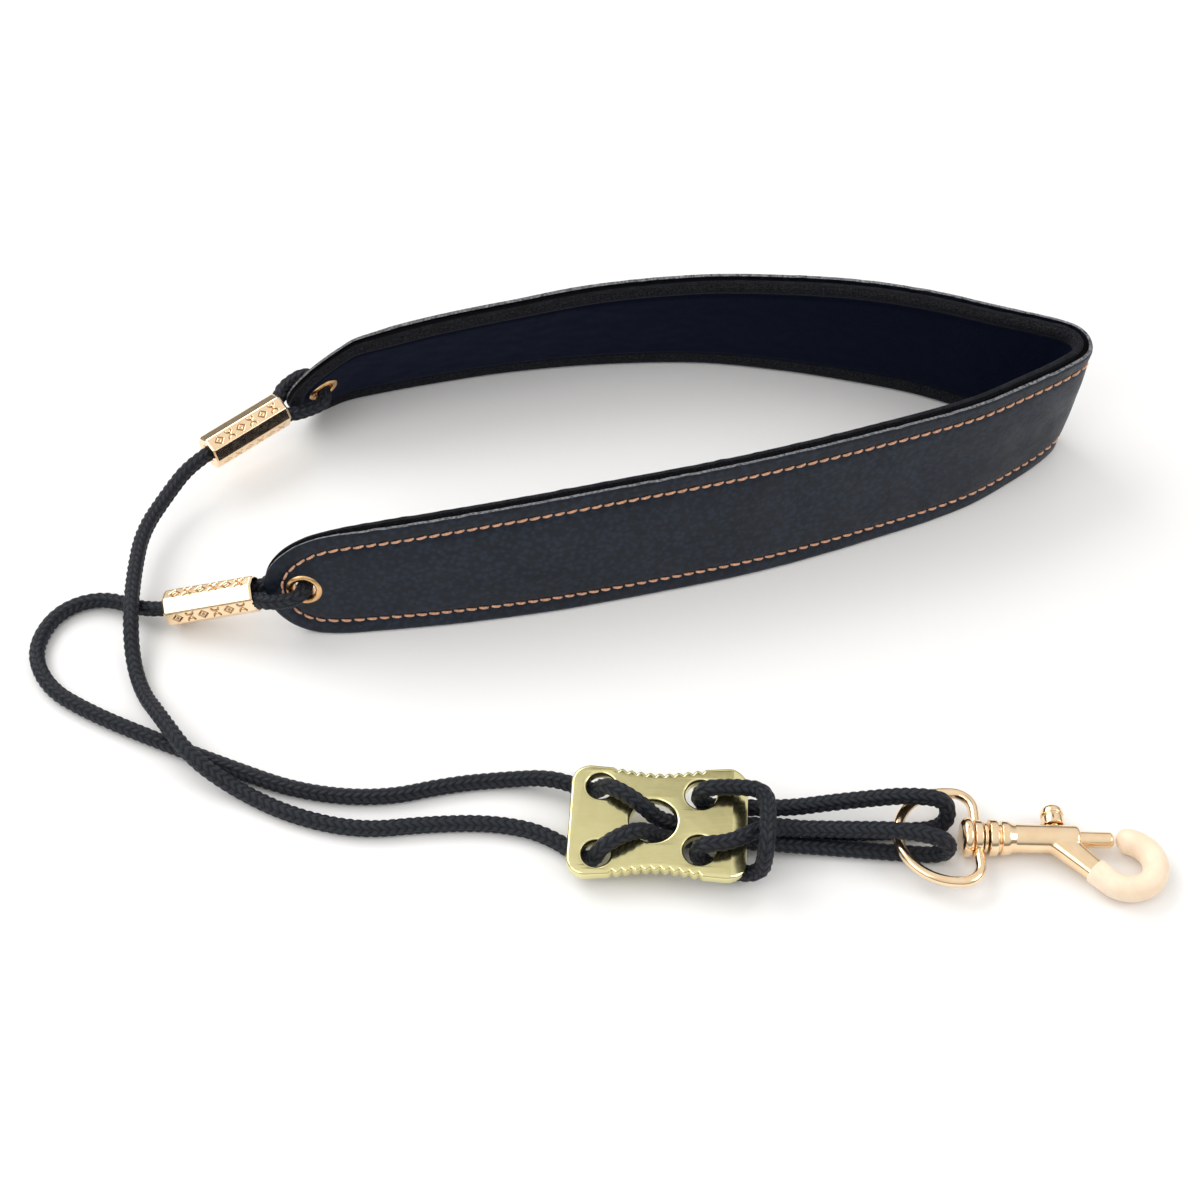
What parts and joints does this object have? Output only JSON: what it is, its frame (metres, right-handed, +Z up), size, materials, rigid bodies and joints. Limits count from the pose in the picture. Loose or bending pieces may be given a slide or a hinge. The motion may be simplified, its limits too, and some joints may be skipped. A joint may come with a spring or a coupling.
{
  "type": "saxophone neck strap",
  "caption": "Padded neck strap for a saxophone: a folded leather band, a braided cord run through a sliding adjuster plate, and a swivel snap hook on a D-ring.",
  "frame": {"origin": "middle of the footprint of everything but the long cord, on the table that the strap lies on", "axes": "+Z up from the table; +X from the ferrules towards the snap hook; +Y away from the hook and adjuster, across the folded neck band"},
  "size_m": [0.2851, 0.1976, 0.0387],
  "materials": {
    "leather": "satin, fine grain",
    "foam": "closed-cell foam, matte",
    "lining": "short velvet pile",
    "dark_brass": "polished",
    "rose_gold": "polished pale gold plate",
    "pale_gold": "polished pale gold plate",
    "cord": "tight braid, slight sheen",
    "cover": "semi-gloss moulded",
    "spring_steel": "bright"
  },
  "bodies": {
    "strap": {"pad_leather": "leather", "pad_foam": "foam", "pad_lining": "lining", "near_pad_eyelet": "dark_brass", "far_pad_eyelet": "dark_brass", "near_eyelet_washer": "dark_brass", "far_eyelet_washer": "dark_brass", "near_cord_ferrule_end": "cord", "near_cord_plate_end": "cord", "far_cord_plate_end": "cord", "far_cord_ferrule_end": "cord"},
    "near_ferrule_body": {"near_ferrule": "rose_gold", "near_eyelet_loop": "cord"},
    "far_ferrule_body": {"far_ferrule": "rose_gold", "far_eyelet_loop": "cord"},
    "adjuster": {"adjuster_plate": "pale_gold", "weave_upper_cord": "cord", "weave_lower_cord": "cord", "wrap_cord": "cord", "lower_edge_cord": "cord"},
    "cord_bights": {"upper_bight_cord": "cord", "lower_bight_cord": "cord"},
    "ring": {"d_ring": "rose_gold"},
    "hook": {"hook_body": "rose_gold", "hook_cover": "cover", "swivel_stud": "rose_gold", "swivel_washer": "rose_gold", "bolt_spring": "spring_steel"},
    "bolt": {"snap_bolt": "rose_gold", "thumb_knob": "rose_gold"}
  },
  "joints": [
    {"name": "near_ferrule_swing", "type": "hinge", "parent": "strap", "child": "near_ferrule_body", "pos_m": [-0.08772, -0.00916, 0.0156], "axis": [0.031, 0.9921, -0.1219], "range_deg": [-1, 30], "deforming": ["near_eyelet_loop", "near_cord_ferrule_end"]},
    {"name": "far_ferrule_swing", "type": "hinge", "parent": "strap", "child": "far_ferrule_body", "pos_m": [-0.09043, 0.06823, 0.01483], "axis": [-0.5509, 0.7288, 0.4067], "range_deg": [-6, 30], "deforming": ["far_eyelet_loop", "far_cord_ferrule_end"]},
    {"name": "adjuster_slide", "type": "slide", "parent": "strap", "child": "adjuster", "axis": [1, 0, 0], "range_m": [-0.045, 0.04], "deforming": ["near_cord_plate_end", "far_cord_plate_end"]},
    {"name": "bights_slide", "type": "slide", "parent": "adjuster", "child": "cord_bights", "axis": [1, 0, 0], "range_m": [-0.02, 0.0225], "deforming": ["upper_bight_cord", "lower_bight_cord", "weave_upper_cord", "weave_lower_cord", "wrap_cord", "lower_edge_cord"]},
    {"name": "ring_tilt", "type": "hinge", "parent": "cord_bights", "child": "ring", "pos_m": [0.06051, -0.0818, 0.00568], "axis": [0, -1, 0], "range_deg": [0, 85]},
    {"name": "hook_swivel", "type": "hinge", "parent": "ring", "child": "hook", "pos_m": [0.0797, -0.0818, 0.00495], "axis": [-0.9993, 0, 0.0384], "continuous": true},
    {"name": "bolt_slide", "type": "slide", "parent": "hook", "child": "bolt", "axis": [0.9993, 0, -0.0384], "range_m": [-0.0065, 0], "stiffness_N_per_m": 300, "springref_m": 0.004, "deforming": ["bolt_spring"]}
  ],
  "couplings": [
    {"joint": "bights_slide", "follows": "adjuster_slide", "ratio": -0.5}
  ]
}
